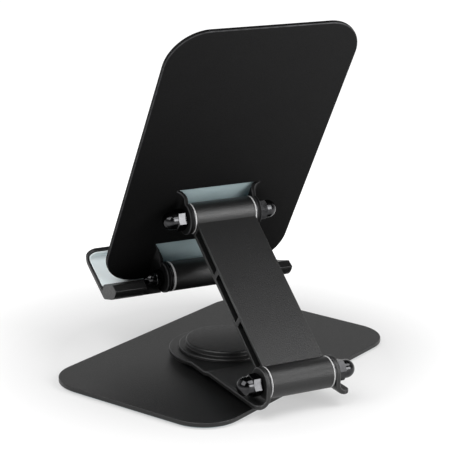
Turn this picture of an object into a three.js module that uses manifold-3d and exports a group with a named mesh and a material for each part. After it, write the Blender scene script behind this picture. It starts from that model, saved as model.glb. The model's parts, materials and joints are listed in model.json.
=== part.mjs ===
// Folding tablet stand on a swivel base: base plate, turntable, double-skinned arm, tablet plate and
// hinged shelf, joined by three bolted friction hinges. Millimetres, +Z up. The origin is on the desk
// under the swivel axis, +X runs along the hinge axes and -Y is the side that the tablet faces.
import * as THREE from 'three';
import { mergeVertices } from 'three/addons/utils/BufferGeometryUtils.js';
import Module from 'manifold-3d';

const wasm = await Module();
wasm.setup();

// ---------------------------------------------------------------- driving dimensions
const GAP = 0.1;                 // air between two faces that touch on the real stand
const CLEARANCE = 0.15;          // radial play between a pin and its hole
const LAP = 1;                   // how far two solids run into each other before they are joined
const BEYOND = 60;               // how far a cutting shape runs past the work
const END_PLAY = 0.5;            // an axle stops this short of the bottom of its nut
const FINE = 28;                 // facets round a barrel or a disc
const COARSE = 18;               // facets round a small part

const PLATE = { length: 172, width: 108, corner: 21, thickness: 2.3 };   // base and tablet plate alike
const BASE_TURN = THREE.MathUtils.degToRad(26.5);                        // base against the upper works
const BASE_PAD = { thickness: 0.8, inset: 1.5 };

const TURNTABLE = {
  top: 8.0, thickness: 2.4, headRadius: 30, tailHalf: 27, rear: 82.8, prongRadius: 3.2,
  step: 1.2, stepFrom: 27, stepTo: 33,       // the tail is joggled up behind the cover
};
const SLIDE = { radius: 22 };
const STUD = { radius: 4, headRadius: 7, headRim: 0.2, neck: 0.3, top: 12.0, chamfer: 0.5 };
const FRICTION = { radius: 13, thickness: 0.7 };
const SPRING = { radius: 11, rise: 0.35, leaf: 0.5 };
const PIVOT_NUT = { corner: 7.5, belowTop: 0.3 };
const CAP = {
  ringRadius: 24.85, ringHeight: 1.9, ringRound: 0.9, discRadius: 21.2, discTop: 12.7, discRound: 1.1,
  crown: 0.35, ceiling: 0.7, skirt: 2.4,
};

const HINGE_A = { y: 74.5, z: 17.0 };        // arm on the turntable
const ARM = { length: 104, angle: THREE.MathUtils.degToRad(-36.3), half: 17.3 };
const SLAB = { half: 4.2, skin: 1.8, web: 2.8, webOffset: 15, endWall: 1.2, pocketCorner: 0.7 };
const BARREL = 8;                            // radius of every hinge barrel
const TILT = THREE.MathUtils.degToRad(29.6); // tablet plate back from upright
const STAND_OFF = 8.4;                       // hinge axes behind the tablet plate's back face
const BELOW_B = 52.6;                        // plate's lower edge below hinge B, along the plate
const SHELF_HINGE = 43.9;                    // hinge C below hinge B, along the plate

const M6 = { pin: 3, across: 10, height: 12, hex: 5.2, dome: 4.75, bevel: 0.5 };
const M5 = { pin: 2.5, across: 8, height: 10, hex: 4.2, dome: 3.75, bevel: 0.5 };
const NUT_TURN = THREE.MathUtils.degToRad(20);   // how far the nuts are turned from square with the sheet
// from the barrel end outwards: bush flange, washer, ear, acorn nut
const BIG_HINGE = {
  nut: M6, half: ARM.half, flange: 0.6, washer: 0.6, slack: GAP, ear: 2.4, earRadius: 8.3,
  bend: 3, bushRadius: 4.4, bushLength: 9, ringRadius: 8.1,
};
const SHELF_HINGE_SET = {
  nut: M5, half: 17.9, flange: 1.1, washer: 1.1, slack: 0.5, ear: 2.3, earRadius: 8.3,
  bend: 4, bushRadius: 3.8, bushLength: 8, ringRadius: 8.1,
};
const WINDOW_B = { top: 12.7, below: 1.2, corner: 0.8 };
const WINDOW_C = { top: -26.3, corner: 0.8 };
const TABLET_PAD = { thickness: 1.0, inset: 4 };

// shelf section, from hinge C: forward of the axis and along the plate
const SHELF = {
  half: 53.6, floorTop: -10.2, floorBottom: -12.4, front: 31.3, lip: 2.1, lipTop: -4.4,
  lipCorner: 5, bendRadius: 5, heel: 3, webFront: 5.4, wingStart: 35.5, nutBay: -5.9, wingTop: 2.6,
  wingFoot: -9.5, wingMill: -0.3, earRoom: 0.7, sideRoom: 1,
};
const SHELF_PAD = { thickness: 0.8, rim: 1.2, back: 8.2, belowLip: 0.8 };

// ---------------------------------------------------------------- small helpers
const X = new THREE.Vector3(1, 0, 0);
const Y = new THREE.Vector3(0, 1, 0);
const Z = new THREE.Vector3(0, 0, 1);

function signedVolume(position, index) {
  const [a, b, c] = [new THREE.Vector3(), new THREE.Vector3(), new THREE.Vector3()];
  let sum = 0;
  for (let i = 0; i < index.length; i += 3) {
    a.fromBufferAttribute(position, index[i]);
    b.fromBufferAttribute(position, index[i + 1]);
    c.fromBufferAttribute(position, index[i + 2]);
    sum += a.dot(b.cross(c));
  }
  return sum;
}

// a closed geometry as a manifold solid, with its faces turned outwards
function solid(geometry) {
  const bare = geometry.clone();
  bare.deleteAttribute('normal');
  bare.deleteAttribute('uv');
  const merged = mergeVertices(bare);
  const corners = merged.index.array;
  const triangles = [];
  for (let i = 0; i < corners.length; i += 3) {
    const [a, b, c] = corners.slice(i, i + 3);
    if (a !== b && b !== c && c !== a) triangles.push(a, b, c);
  }
  if (signedVolume(merged.attributes.position, triangles) < 0) triangles.reverse();
  return new wasm.Manifold(new wasm.Mesh({
    numProp: 3,
    vertProperties: new Float32Array(merged.attributes.position.array),
    triVerts: new Uint32Array(triangles),
  }));
}

function geometryOf(manifold) {
  const mesh = manifold.getMesh();
  const geometry = new THREE.BufferGeometry();
  geometry.setAttribute('position', new THREE.BufferAttribute(mesh.vertProperties, 3));
  geometry.setIndex(new THREE.BufferAttribute(mesh.triVerts, 1));
  geometry.computeVertexNormals();
  return geometry;
}

function extrude(shape, depth, segments = 8) {
  return new THREE.ExtrudeGeometry(shape, { depth, bevelEnabled: false, curveSegments: segments });
}

// a cutting shape that runs right through the work along z
function through(shape, segments) {
  return extrude(shape, 2 * BEYOND, segments).translate(0, 0, -BEYOND);
}

// a section drawn in the (y, z) plane, run along x
function alongX(shape, from, to, segments) {
  const geometry = extrude(shape, to - from, segments);
  geometry.applyMatrix4(new THREE.Matrix4().makeBasis(Y, Z, X));
  return geometry.translate(from, 0, 0);
}

// quarter round on a lathe profile, from the side of a step to its top
function shoulder(radius, top, round, steps = 3) {
  const points = [];
  for (let i = 0; i <= steps; i += 1) {
    const angle = (i / steps) * (Math.PI / 2);
    points.push([radius - round + round * Math.cos(angle), top - round + round * Math.sin(angle)]);
  }
  return points;
}

function lathe(profile, segments, axis) {
  const geometry = new THREE.LatheGeometry(profile.map(([r, h]) => new THREE.Vector2(r, h)), segments);
  return axis === 'x' ? geometry.rotateZ(-Math.PI / 2) : geometry.rotateX(Math.PI / 2);
}

function cylinderX(radius, from, to, segments = FINE) {
  const geometry = new THREE.CylinderGeometry(radius, radius, to - from, segments);
  return geometry.rotateZ(-Math.PI / 2).translate((from + to) / 2, 0, 0);
}

function cylinderZ(radius, from, to, segments = FINE) {
  const geometry = new THREE.CylinderGeometry(radius, radius, to - from, segments);
  return geometry.rotateX(Math.PI / 2).translate(0, 0, (from + to) / 2);
}

function boxBetween(low, high) {
  const size = high.map((value, i) => value - low[i]);
  const centre = high.map((value, i) => (value + low[i]) / 2);
  return new THREE.BoxGeometry(...size).translate(...centre);
}

function ring(inner, outer, from, to, segments, axis) {
  const profile = [[inner, from], [outer, from], [outer, to], [inner, to], [inner, from]];
  return lathe(profile, segments, axis);
}

function polygon(points) {
  return new THREE.Shape(points.map(([a, b]) => new THREE.Vector2(a, b)));
}

// rectangle with rounded corners between two corners
function roundedRect(x0, y0, x1, y1, radius) {
  const shape = new THREE.Shape();
  shape.moveTo(x0 + radius, y0);
  shape.lineTo(x1 - radius, y0);
  shape.absarc(x1 - radius, y0 + radius, radius, -Math.PI / 2, 0);
  shape.lineTo(x1, y1 - radius);
  shape.absarc(x1 - radius, y1 - radius, radius, 0, Math.PI / 2);
  shape.lineTo(x0 + radius, y1);
  shape.absarc(x0 + radius, y1 - radius, radius, Math.PI / 2, Math.PI);
  shape.lineTo(x0, y0 + radius);
  shape.absarc(x0 + radius, y0 + radius, radius, Math.PI, Math.PI * 1.5);
  return shape;
}

function finish(color, roughness, metalness) {
  return new THREE.MeshStandardMaterial({ color, roughness, metalness });
}

const anodised = finish(0x2b2b2d, 0.5, 0.6);
const plateBlack = finish(0x19191a, 0.6, 0.4);
const nutBlack = finish(0x101012, 0.18, 1.0);
const steel = finish(0xb9bbbd, 0.3, 1.0);
const silicone = finish(0xc4cfd0, 0.7, 0.0);
const nylon = finish(0x2a2a2a, 0.55, 0.0);

function piece(name, geometry, material) {
  const mesh = new THREE.Mesh(geometry, material);
  mesh.name = name;
  return mesh;
}

// ---------------------------------------------------------------- hinge sets
// where each layer of a hinge starts and ends, outwards from the middle of the stand
function layers(set) {
  const flange = [set.half + GAP / 2, set.half + GAP / 2 + set.flange];
  const washer = [flange[1] + GAP / 2, flange[1] + GAP / 2 + set.washer];
  const ear = [washer[1] + set.slack, washer[1] + set.slack + set.ear];
  const nut = [ear[1] + GAP, ear[1] + GAP + set.nut.height];
  return { flange, washer, ear, nut };
}

// how deep the thread of an acorn nut goes
function threadDepth(nut) {
  return nut.height - nut.dome + LAP;
}

function acornNut(nut, from) {
  const corner = nut.across / Math.sqrt(3);
  const { bevel } = nut;
  const hex = cylinderX(corner, 0, nut.hex, 6).rotateX(NUT_TURN);
  const limit = lathe([[0, 0], [corner - bevel, 0], [corner, bevel], [corner, nut.hex - bevel],
    [corner - bevel, nut.hex], [0, nut.hex]], COARSE, 'x');
  const dome = lathe([[0, nut.hex - bevel], [nut.dome, nut.hex - bevel],
    ...shoulder(nut.dome, nut.height, nut.dome, 5)], COARSE, 'x');
  const bore = cylinderX(nut.pin + CLEARANCE, -LAP, threadDepth(nut), COARSE);
  const body = solid(hex).intersect(solid(limit)).add(solid(dome)).subtract(solid(bore));
  return geometryOf(body).translate(from, 0, 0);
}

function flangedBush(set, at) {
  const inner = set.nut.pin + CLEARANCE;
  const profile = [[inner, at.flange[0] - set.bushLength], [set.bushRadius, at.flange[0] - set.bushLength],
    [set.bushRadius, at.flange[0]], [set.ringRadius, at.flange[0]], [set.ringRadius, at.flange[1]],
    [inner, at.flange[1]], [inner, at.flange[0] - set.bushLength]];
  return lathe(profile, COARSE, 'x');
}

// the loose pieces of one hinge, left and right, on a common axis; `fixed` is the group that carries
// the ears and `turning` is the group that carries the barrel
function hingeSet(letter, set, fixed, turning) {
  const at = layers(set);
  const reach = at.nut[0] + threadDepth(set.nut) - END_PLAY;
  const names = [['left', 1], ['right', -1]];
  fixed.add(piece(`hinge_${letter}_axle`, cylinderX(set.nut.pin, -reach, reach, COARSE), steel));
  for (const [side, sign] of names) {
    const turn = sign > 0 ? 0 : Math.PI;
    const nut = piece(`hinge_${letter}_acorn_nut_${side}`, acornNut(set.nut, at.nut[0]), nutBlack);
    const washerRing = ring(set.nut.pin + CLEARANCE, set.ringRadius, ...at.washer, COARSE, 'x');
    const washer = piece(`hinge_${letter}_washer_${side}`, washerRing, steel);
    const bush = piece(`hinge_${letter}_bush_${side}`, flangedBush(set, at), nylon);
    for (const mesh of [nut, washer, bush]) mesh.rotation.z = turn;
    fixed.add(nut, washer);
    turning.add(bush);
  }
}

// An ear bent up out of a sheet. The sheet lies between z = 0 (the side that the ear rises from, towards
// -z) and z = thickness. `side` is the outline of the ear, drawn in (y, height).
function bentEar(sign, set, thickness, side, from, to) {
  const { ear } = layers(set);
  const radius = set.bend;
  const far = ear[1] + radius;
  const steps = 5;
  const section = [[ear[1], BEYOND], [ear[0], BEYOND]];
  for (let i = 0; i <= steps; i += 1) {
    const angle = Math.PI + (i / steps) * (Math.PI / 2);
    section.push([far + (far - ear[0]) * Math.cos(angle), radius + (radius + thickness) * Math.sin(angle)]);
  }
  section.push([far + LAP, -thickness], [far + LAP, 0]);
  for (let i = 0; i <= steps; i += 1) {
    const angle = Math.PI * 1.5 - (i / steps) * (Math.PI / 2);
    section.push([far + radius * Math.cos(angle), radius + radius * Math.sin(angle)]);
  }
  const strip = extrude(polygon(section.map(([a, b]) => [a * sign, b])), to - from);
  strip.applyMatrix4(new THREE.Matrix4().makeBasis(X, Z.clone().negate(), Y)).translate(0, from, 0);
  const outline = extrude(side, BEYOND, 10);
  outline.applyMatrix4(new THREE.Matrix4().makeBasis(Y, Z.clone().negate(), X.clone().negate()));
  outline.translate(sign > 0 ? BEYOND : 0, 0, 0);
  return solid(strip).intersect(solid(outline));
}

// outline of an ear in (along the sheet, height): root from `low` to `high`, round end about the hinge
function earOutline(low, high, centre, height, radius, thickness) {
  const shape = new THREE.Shape();
  const reach = Math.hypot(high - centre, height);
  const lean = Math.atan2(height, high - centre);
  const tangent = lean - Math.acos(radius / reach);
  const foot = high - centre > radius ? tangent : 0;
  shape.moveTo(high, -thickness - LAP);
  shape.lineTo(high, 0);
  shape.lineTo(centre + radius * Math.cos(foot), height + radius * Math.sin(foot));
  shape.absarc(centre, height, radius, foot, Math.PI);
  shape.lineTo(low, -thickness - LAP);
  return shape;
}

// ---------------------------------------------------------------- base
const group = new THREE.Group();
const base = new THREE.Group();
base.rotation.z = BASE_TURN;
group.add(base);

const halfLength = PLATE.length / 2;
const halfWidth = PLATE.width / 2;
const baseBottom = BASE_PAD.thickness + GAP;
const baseTop = baseBottom + PLATE.thickness;
const slabShape = roundedRect(-halfLength, -halfWidth, halfLength, halfWidth, PLATE.corner);
const studHole = STUD.radius + CLEARANCE;
const sinkRadius = STUD.headRadius + CLEARANCE;
const studSink = lathe([[0, -BEYOND], [sinkRadius, -BEYOND], [sinkRadius, baseBottom + STUD.headRim],
  [studHole, baseTop - STUD.neck], [studHole, BEYOND], [0, BEYOND]], COARSE, 'z');
const basePlate = solid(extrude(slabShape, PLATE.thickness, 10).translate(0, 0, baseBottom));
base.add(piece('base_plate', geometryOf(basePlate.subtract(solid(studSink))), anodised));

const inset = BASE_PAD.inset;
const padShape = roundedRect(-halfLength + inset, -halfWidth + inset, halfLength - inset, halfWidth - inset,
  PLATE.corner - inset);
base.add(piece('base_pad', extrude(padShape, BASE_PAD.thickness, 10), silicone));

// ---------------------------------------------------------------- swivel
const tableBottom = TURNTABLE.top - TURNTABLE.thickness;
const play = GAP / 2;
const studProfile = [[0, baseBottom + play], [STUD.headRadius, baseBottom + play],
  [STUD.headRadius, baseBottom + STUD.headRim + play], [STUD.radius, baseTop - STUD.neck + play],
  [STUD.radius, STUD.top - STUD.chamfer], [STUD.radius - STUD.chamfer, STUD.top], [0, STUD.top]];
base.add(piece('pivot_stud', lathe(studProfile, COARSE, 'z'), steel));
const slideRing = ring(studHole, SLIDE.radius, baseTop + GAP, tableBottom - GAP, FINE, 'z');
base.add(piece('slide_disc', slideRing, nylon));

const washerFloor = TURNTABLE.top + GAP;
const frictionTop = washerFloor + FRICTION.thickness;
const frictionRing = ring(studHole, FRICTION.radius, washerFloor, frictionTop, COARSE, 'z');
base.add(piece('friction_washer', frictionRing, nylon));
const springFoot = frictionTop + GAP;
const springHead = springFoot + SPRING.rise;
const springProfile = [[studHole, springHead], [SPRING.radius, springFoot],
  [SPRING.radius, springFoot + SPRING.leaf], [studHole, springHead + SPRING.leaf], [studHole, springHead]];
base.add(piece('spring_washer', lathe(springProfile, COARSE, 'z'), steel));
const nutFloor = springHead + SPRING.leaf + GAP;
const nutTop = STUD.top - PIVOT_NUT.belowTop;
const pivotHex = solid(cylinderZ(PIVOT_NUT.corner, nutFloor, nutTop, 6));
const pivotNut = pivotHex.subtract(solid(cylinderZ(studHole, -BEYOND, BEYOND, COARSE)));
base.add(piece('pivot_nut', geometryOf(pivotNut), steel));

// the two-step cover over the swivel, open underneath
const ringTop = TURNTABLE.top + CAP.ringHeight;
const ceiling = CAP.discTop - CAP.ceiling;
const skirt = CAP.discRadius - CAP.skirt;
const capProfile = [[skirt, washerFloor], [CAP.ringRadius, washerFloor],
  ...shoulder(CAP.ringRadius, ringTop, CAP.ringRound), [CAP.discRadius, ringTop],
  ...shoulder(CAP.discRadius, CAP.discTop, CAP.discRound),
  [CAP.discRadius / 2, CAP.discTop + CAP.crown * 0.75], [0, CAP.discTop + CAP.crown], [0, ceiling],
  [skirt, ceiling], [skirt, washerFloor]];
const turntable = new THREE.Group();
group.add(turntable);
turntable.add(piece('swivel_cap', lathe(capProfile, FINE, 'z'), anodised));

// ---------------------------------------------------------------- turntable plate
// drawn upside down in the ear's own frame, then turned over: y runs towards the front there
const bigEars = layers(BIG_HINGE).ear;
const slotHalf = bigEars[1] + BIG_HINGE.bend;
const earLow = -HINGE_A.y - BIG_HINGE.earRadius;
const earHigh = -HINGE_A.y + BIG_HINGE.earRadius;
function tableShape() {
  const { headRadius, tailHalf, rear, prongRadius } = TURNTABLE;
  const join = Math.asin(Math.sqrt(headRadius ** 2 - tailHalf ** 2) / headRadius);
  const shape = new THREE.Shape();
  shape.moveTo(tailHalf, -headRadius * Math.sin(join));
  shape.absarc(0, 0, headRadius, -join, Math.PI + join);
  shape.lineTo(-tailHalf, -rear + prongRadius);
  shape.absarc(-tailHalf + prongRadius, -rear + prongRadius, prongRadius, Math.PI, Math.PI * 1.5);
  shape.lineTo(tailHalf - prongRadius, -rear);
  shape.absarc(tailHalf - prongRadius, -rear + prongRadius, prongRadius, -Math.PI / 2, 0);
  return shape;
}

// the flat plate with its tail moved up a step, and a short ramp between head and tail
function joggled(flat) {
  const { step, stepFrom, stepTo, tailHalf, thickness } = TURNTABLE;
  const head = flat.trimByPlane([0, 1, 0], -stepFrom);
  const tail = flat.trimByPlane([0, -1, 0], stepTo).translate([0, 0, -step]);
  const ramp = polygon([[LAP - stepFrom, 0], [LAP - stepFrom, thickness], [-stepFrom, thickness],
    [-stepTo, thickness - step], [-stepTo - LAP, thickness - step], [-stepTo - LAP, -step],
    [-stepTo, -step], [-stepFrom, 0]]);
  return head.add(solid(alongX(ramp, -tailHalf, tailHalf, 1))).add(tail);
}
const slotRound = 2;
const slot = roundedRect(-slotHalf, -TURNTABLE.rear - BEYOND, slotHalf, earHigh + LAP, slotRound);
const earRise = HINGE_A.z - TURNTABLE.top - TURNTABLE.step;
const tableEar = earOutline(earLow, earHigh, -HINGE_A.y, earRise, BIG_HINGE.earRadius, TURNTABLE.thickness);
const axleHoleBig = cylinderX(M6.pin + CLEARANCE, -BEYOND, BEYOND, COARSE);
let table = solid(extrude(tableShape(), TURNTABLE.thickness, 16)).subtract(solid(through(slot, 3)));
for (const sign of [1, -1]) {
  table = table.add(bentEar(sign, BIG_HINGE, TURNTABLE.thickness, tableEar, earLow - LAP, earHigh + LAP));
}
table = table.subtract(solid(cylinderZ(studHole + GAP, -BEYOND, BEYOND, COARSE)));
table = joggled(table.subtract(solid(axleHoleBig.translate(0, -HINGE_A.y, -earRise))));
const turntablePlate = piece('turntable_plate', geometryOf(table), anodised);
turntablePlate.rotation.x = Math.PI;
turntablePlate.position.z = TURNTABLE.top;
turntable.add(turntablePlate);

const hingeA = new THREE.Group();
hingeA.position.set(0, HINGE_A.y, HINGE_A.z);
turntable.add(hingeA);

// ---------------------------------------------------------------- arm
// its own frame: y from hinge B (at -length) to hinge A (at 0), z away from the desk
const armGroup = new THREE.Group();
armGroup.rotation.x = ARM.angle;
hingeA.add(armGroup);

function armShape() {
  const reach = Math.sqrt(BARREL ** 2 - SLAB.half ** 2);
  const meet = Math.asin(SLAB.half / BARREL);
  const shape = new THREE.Shape();
  shape.moveTo(-reach, SLAB.half);
  shape.lineTo(-ARM.length + reach, SLAB.half);
  shape.absarc(-ARM.length, 0, BARREL, meet, Math.PI * 2 - meet);
  shape.lineTo(-reach, -SLAB.half);
  shape.absarc(0, 0, BARREL, Math.PI + meet, Math.PI * 3 - meet);
  for (const centre of [0, -ARM.length]) {
    const bore = new THREE.Path();
    bore.absarc(centre, 0, BIG_HINGE.bushRadius + GAP, 0, Math.PI * 2, true);
    shape.holes.push(bore);
  }
  const middle = -ARM.length / 2;
  const wall = BARREL + SLAB.endWall;
  const edges = [-ARM.length + wall, middle - SLAB.webOffset, middle + SLAB.webOffset, -wall];
  for (let i = 0; i < 3; i += 1) {
    const from = edges[i] + (i > 0 ? SLAB.web / 2 : 0);
    const to = edges[i + 1] - (i < 2 ? SLAB.web / 2 : 0);
    const high = SLAB.half - SLAB.skin;
    shape.holes.push(new THREE.Path(roundedRect(from, -high, to, high, SLAB.pocketCorner).getPoints(2)));
  }
  return shape;
}
armGroup.add(piece('arm', alongX(armShape(), -ARM.half, ARM.half, 16), anodised));

const hingeB = new THREE.Group();
hingeB.position.y = -ARM.length;
armGroup.add(hingeB);

// ---------------------------------------------------------------- tablet plate
// its own frame at hinge B: y up along the plate, z towards the tablet
const plateGroup = new THREE.Group();
plateGroup.rotation.x = Math.PI / 2 - TILT - ARM.angle;
hingeB.add(plateGroup);

const smallEars = layers(SHELF_HINGE_SET).ear;
const plateShape = roundedRect(-halfWidth, -BELOW_B, halfWidth, PLATE.length - BELOW_B, PLATE.corner);
const earBottomB = -BIG_HINGE.earRadius;
const windowHalfB = bigEars[1] + BIG_HINGE.bend;
const windowHalfC = smallEars[1] + SHELF_HINGE_SET.bend;
const windowB = roundedRect(-windowHalfB, earBottomB - WINDOW_B.below, windowHalfB, WINDOW_B.top,
  WINDOW_B.corner);
const windowC = roundedRect(-windowHalfC, -BELOW_B - BEYOND, windowHalfC, WINDOW_C.top, WINDOW_C.corner);
const earB = earOutline(earBottomB, WINDOW_B.top, 0, STAND_OFF, BIG_HINGE.earRadius, PLATE.thickness);
const earC = earOutline(-BELOW_B, WINDOW_C.top, -SHELF_HINGE, STAND_OFF, SHELF_HINGE_SET.earRadius,
  PLATE.thickness);
let tablet = solid(extrude(plateShape, PLATE.thickness, 12));
for (const opening of [windowB, windowC]) {
  tablet = tablet.subtract(solid(through(opening, 3)));
}
for (const sign of [1, -1]) {
  tablet = tablet.add(bentEar(sign, BIG_HINGE, PLATE.thickness, earB, earBottomB, WINDOW_B.top));
  tablet = tablet.add(bentEar(sign, SHELF_HINGE_SET, PLATE.thickness, earC, -BELOW_B, WINDOW_C.top));
}
const axleHoleB = axleHoleBig.clone().translate(0, HINGE_A.y, earRise - STAND_OFF);
const axleHoleC = cylinderX(M5.pin + CLEARANCE, -BEYOND, BEYOND, COARSE);
axleHoleC.translate(0, -SHELF_HINGE, -STAND_OFF);
tablet = tablet.subtract(solid(axleHoleB)).subtract(solid(axleHoleC));
const tabletPlate = piece('tablet_plate', geometryOf(tablet), plateBlack);
tabletPlate.position.z = STAND_OFF;
plateGroup.add(tabletPlate);

const edge = TABLET_PAD.inset;
const tabletPadShape = roundedRect(-halfWidth + edge, -BELOW_B + edge, halfWidth - edge,
  PLATE.length - BELOW_B - edge, PLATE.corner - edge);
const tabletPad = piece('tablet_pad', extrude(tabletPadShape, TABLET_PAD.thickness, 10), silicone);
tabletPad.position.z = STAND_OFF + PLATE.thickness + GAP;
plateGroup.add(tabletPad);

// ---------------------------------------------------------------- shelf
// its own frame at hinge C, parallel to the plate's: section drawn in (along the plate, forward)
const shelfGroup = new THREE.Group();
const hingeC = new THREE.Group();
hingeC.position.y = -SHELF_HINGE;
plateGroup.add(hingeC);
hingeC.add(shelfGroup);

function shelfSection() {
  const { floorTop, floorBottom, front, lip, lipTop, bendRadius, webFront, heel } = SHELF;
  const heelRise = heel * 0.4;
  const meet = BARREL * Math.SQRT2 + floorBottom;  // where the sloping underside would meet the floor
  const webTop = -Math.sqrt(BARREL ** 2 - webFront ** 2);
  const inner = bendRadius - lip;
  const shape = new THREE.Shape();
  shape.moveTo(floorBottom, heel - meet);
  shape.lineTo(floorBottom, front - bendRadius);
  shape.absarc(floorBottom + bendRadius, front - bendRadius, bendRadius, Math.PI, Math.PI / 2, true);
  shape.lineTo(lipTop, front);
  shape.lineTo(lipTop, front - lip);
  shape.lineTo(floorTop + inner, front - lip);
  shape.absarc(floorTop + inner, front - lip - inner, inner, Math.PI / 2, Math.PI);
  shape.lineTo(floorTop, webFront);
  shape.lineTo(webTop, webFront);
  shape.absarc(0, 0, BARREL, Math.atan2(webFront, webTop), -Math.PI * 0.75, true);
  shape.lineTo(floorBottom + heelRise, -meet - heelRise);
  shape.quadraticCurveTo(floorBottom, -meet, floorBottom, heel - meet);
  return shape;
}

// the outer part of the rear wall is milled down at 45 degrees: the region that goes, in (y, z)
function wingMilling(behindLip) {
  const { wingFoot, wingTop, wingMill } = SHELF;
  return polygon([[BEYOND, -BEYOND], [BEYOND, behindLip], [wingFoot, behindLip],
    [wingFoot, wingMill - wingFoot], [wingTop, wingMill - wingTop], [wingTop, -BEYOND]]);
}

// what a rounded top corner takes off one end of the lip
function lipCornerCut(sign) {
  const { half, lipTop, lipCorner } = SHELF;
  const centre = [sign * (half - lipCorner), lipTop - lipCorner];
  const end = sign > 0 ? 0 : Math.PI;
  const shape = new THREE.Shape();
  shape.moveTo(centre[0], lipTop);
  shape.absarc(...centre, lipCorner, Math.PI / 2, end, sign > 0);
  shape.lineTo(sign * (half + LAP), centre[1]);
  shape.lineTo(sign * (half + LAP), lipTop + LAP);
  shape.lineTo(centre[0], lipTop + LAP);
  return extrude(shape, BEYOND, 10).translate(0, 0, SHELF.front / 2);
}

let shelf = solid(alongX(shelfSection(), -SHELF.half, SHELF.half, 16));
shelf = shelf.subtract(solid(cylinderX(SHELF_HINGE_SET.bushRadius + GAP, -BEYOND, BEYOND, COARSE)));
const barrelEnd = SHELF_HINGE_SET.half;
const earRoom = SHELF_HINGE_SET.earRadius + SHELF.earRoom;
const behindLip = SHELF.front / 2;
for (const sign of [1, -1]) {
  const span = (from, to) => (sign > 0 ? [from, to] : [-to, -from]);
  const [earFrom, earTo] = span(barrelEnd, smallEars[1] + SHELF.sideRoom);
  const [bayFrom, bayTo] = span(barrelEnd, SHELF.wingStart);
  const [rootFrom, rootTo] = span(barrelEnd, windowHalfC + SHELF.sideRoom);
  const [wingFrom, wingTo] = span(SHELF.wingStart - GAP, SHELF.half + LAP);
  const cuts = [
    cylinderX(earRoom, earFrom, earTo),
    boxBetween([bayFrom, SHELF.nutBay, -BEYOND], [bayTo, BEYOND, behindLip]),
    boxBetween([rootFrom, SHELF.floorTop, 0], [rootTo, BEYOND, behindLip]),
    alongX(wingMilling(behindLip), wingFrom, wingTo, 4),
    lipCornerCut(sign),
  ];
  for (const cut of cuts) shelf = shelf.subtract(solid(cut));
}
shelfGroup.add(piece('shelf', geometryOf(shelf), anodised));

// silicone lining of the tray: floor and inside of the lip in one piece
function liningSection() {
  const { thickness, back, belowLip } = SHELF_PAD;
  const floor = SHELF.floorTop + GAP;
  const wall = SHELF.front - SHELF.lip - GAP;
  const outer = SHELF.bendRadius - SHELF.lip - GAP;
  const inner = outer - thickness;
  const shape = new THREE.Shape();
  shape.moveTo(floor, back);
  shape.lineTo(floor, wall - outer);
  shape.absarc(floor + outer, wall - outer, outer, Math.PI, Math.PI / 2, true);
  shape.lineTo(SHELF.lipTop - belowLip, wall);
  shape.lineTo(SHELF.lipTop - belowLip, wall - thickness);
  shape.lineTo(floor + outer, wall - thickness);
  shape.absarc(floor + outer, wall - outer, inner, Math.PI / 2, Math.PI);
  shape.lineTo(floor + thickness, back);
  return shape;
}
const liningHalf = SHELF.half - SHELF_PAD.rim;
shelfGroup.add(piece('shelf_pad', alongX(liningSection(), -liningHalf, liningHalf, 6), silicone));

// ---------------------------------------------------------------- hinge hardware
hingeSet('a', BIG_HINGE, hingeA, armGroup);
const armEndB = new THREE.Group();
armEndB.position.y = -ARM.length;
armGroup.add(armEndB);
hingeSet('b', BIG_HINGE, plateGroup, armEndB);
hingeSet('c', SHELF_HINGE_SET, hingeC, shelfGroup);

export default group;
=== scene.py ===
"""Looks of the folding tablet stand: sheet metal, extrusions, turned parts and silicone.

Every piece is drawn in millimetres in a local frame of its own, then placed in the row frame in metres.
"""
import json
import math

import bmesh
import bpy
from mathutils import Matrix, Vector
from mathutils.geometry import tessellate_polygon


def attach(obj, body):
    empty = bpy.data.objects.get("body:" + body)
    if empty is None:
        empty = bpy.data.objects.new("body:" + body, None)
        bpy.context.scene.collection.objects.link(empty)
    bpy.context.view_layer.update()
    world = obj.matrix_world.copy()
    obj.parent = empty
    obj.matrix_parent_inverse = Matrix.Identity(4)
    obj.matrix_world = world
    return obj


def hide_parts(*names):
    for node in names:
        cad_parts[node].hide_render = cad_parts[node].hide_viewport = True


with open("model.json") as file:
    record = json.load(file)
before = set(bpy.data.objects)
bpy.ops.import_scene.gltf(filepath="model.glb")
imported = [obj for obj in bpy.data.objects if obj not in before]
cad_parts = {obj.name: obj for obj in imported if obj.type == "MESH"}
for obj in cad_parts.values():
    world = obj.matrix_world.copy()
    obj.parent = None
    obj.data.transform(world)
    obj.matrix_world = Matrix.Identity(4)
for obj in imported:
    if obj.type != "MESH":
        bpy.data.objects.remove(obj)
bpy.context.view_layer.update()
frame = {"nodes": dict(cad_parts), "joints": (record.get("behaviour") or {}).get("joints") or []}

# ---------------------------------------------------------------- sizes, in millimetres
MM = 0.001
GAP = 0.1
PLATE_LENGTH, PLATE_WIDTH, PLATE_CORNER, PLATE_THICK = 172.0, 108.0, 21.0, 2.3
BASE_TURN = 26.5
BASE_PAD_THICK, BASE_PAD_INSET = 0.8, 1.5
TABLE_TOP, TABLE_THICK, HEAD_RADIUS, TAIL_HALF, TAIL_REAR, PRONG_RADIUS = 8.0, 2.4, 30.0, 27.0, 82.8, 3.2
TABLE_STEP, STEP_FROM, STEP_TO = 1.2, 27.0, 33.0     # the tail stands a little higher than the head
SLOT_AHEAD, SLOT_CORNER = 1.0, 2.0                   # the tail's slot, ahead of the ears
CAP_RING, CAP_RING_HEIGHT, CAP_DISC, CAP_DISC_TOP, CAP_CROWN = 24.85, 1.9, 21.2, 12.7, 0.35
CAP_RING_ROUND, CAP_FILLET, CAP_DISC_ROUND, CAP_FOOT, CAP_SKIRT, CAP_CEILING = 0.9, 0.5, 1.1, 0.2, 2.4, 0.7
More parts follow.
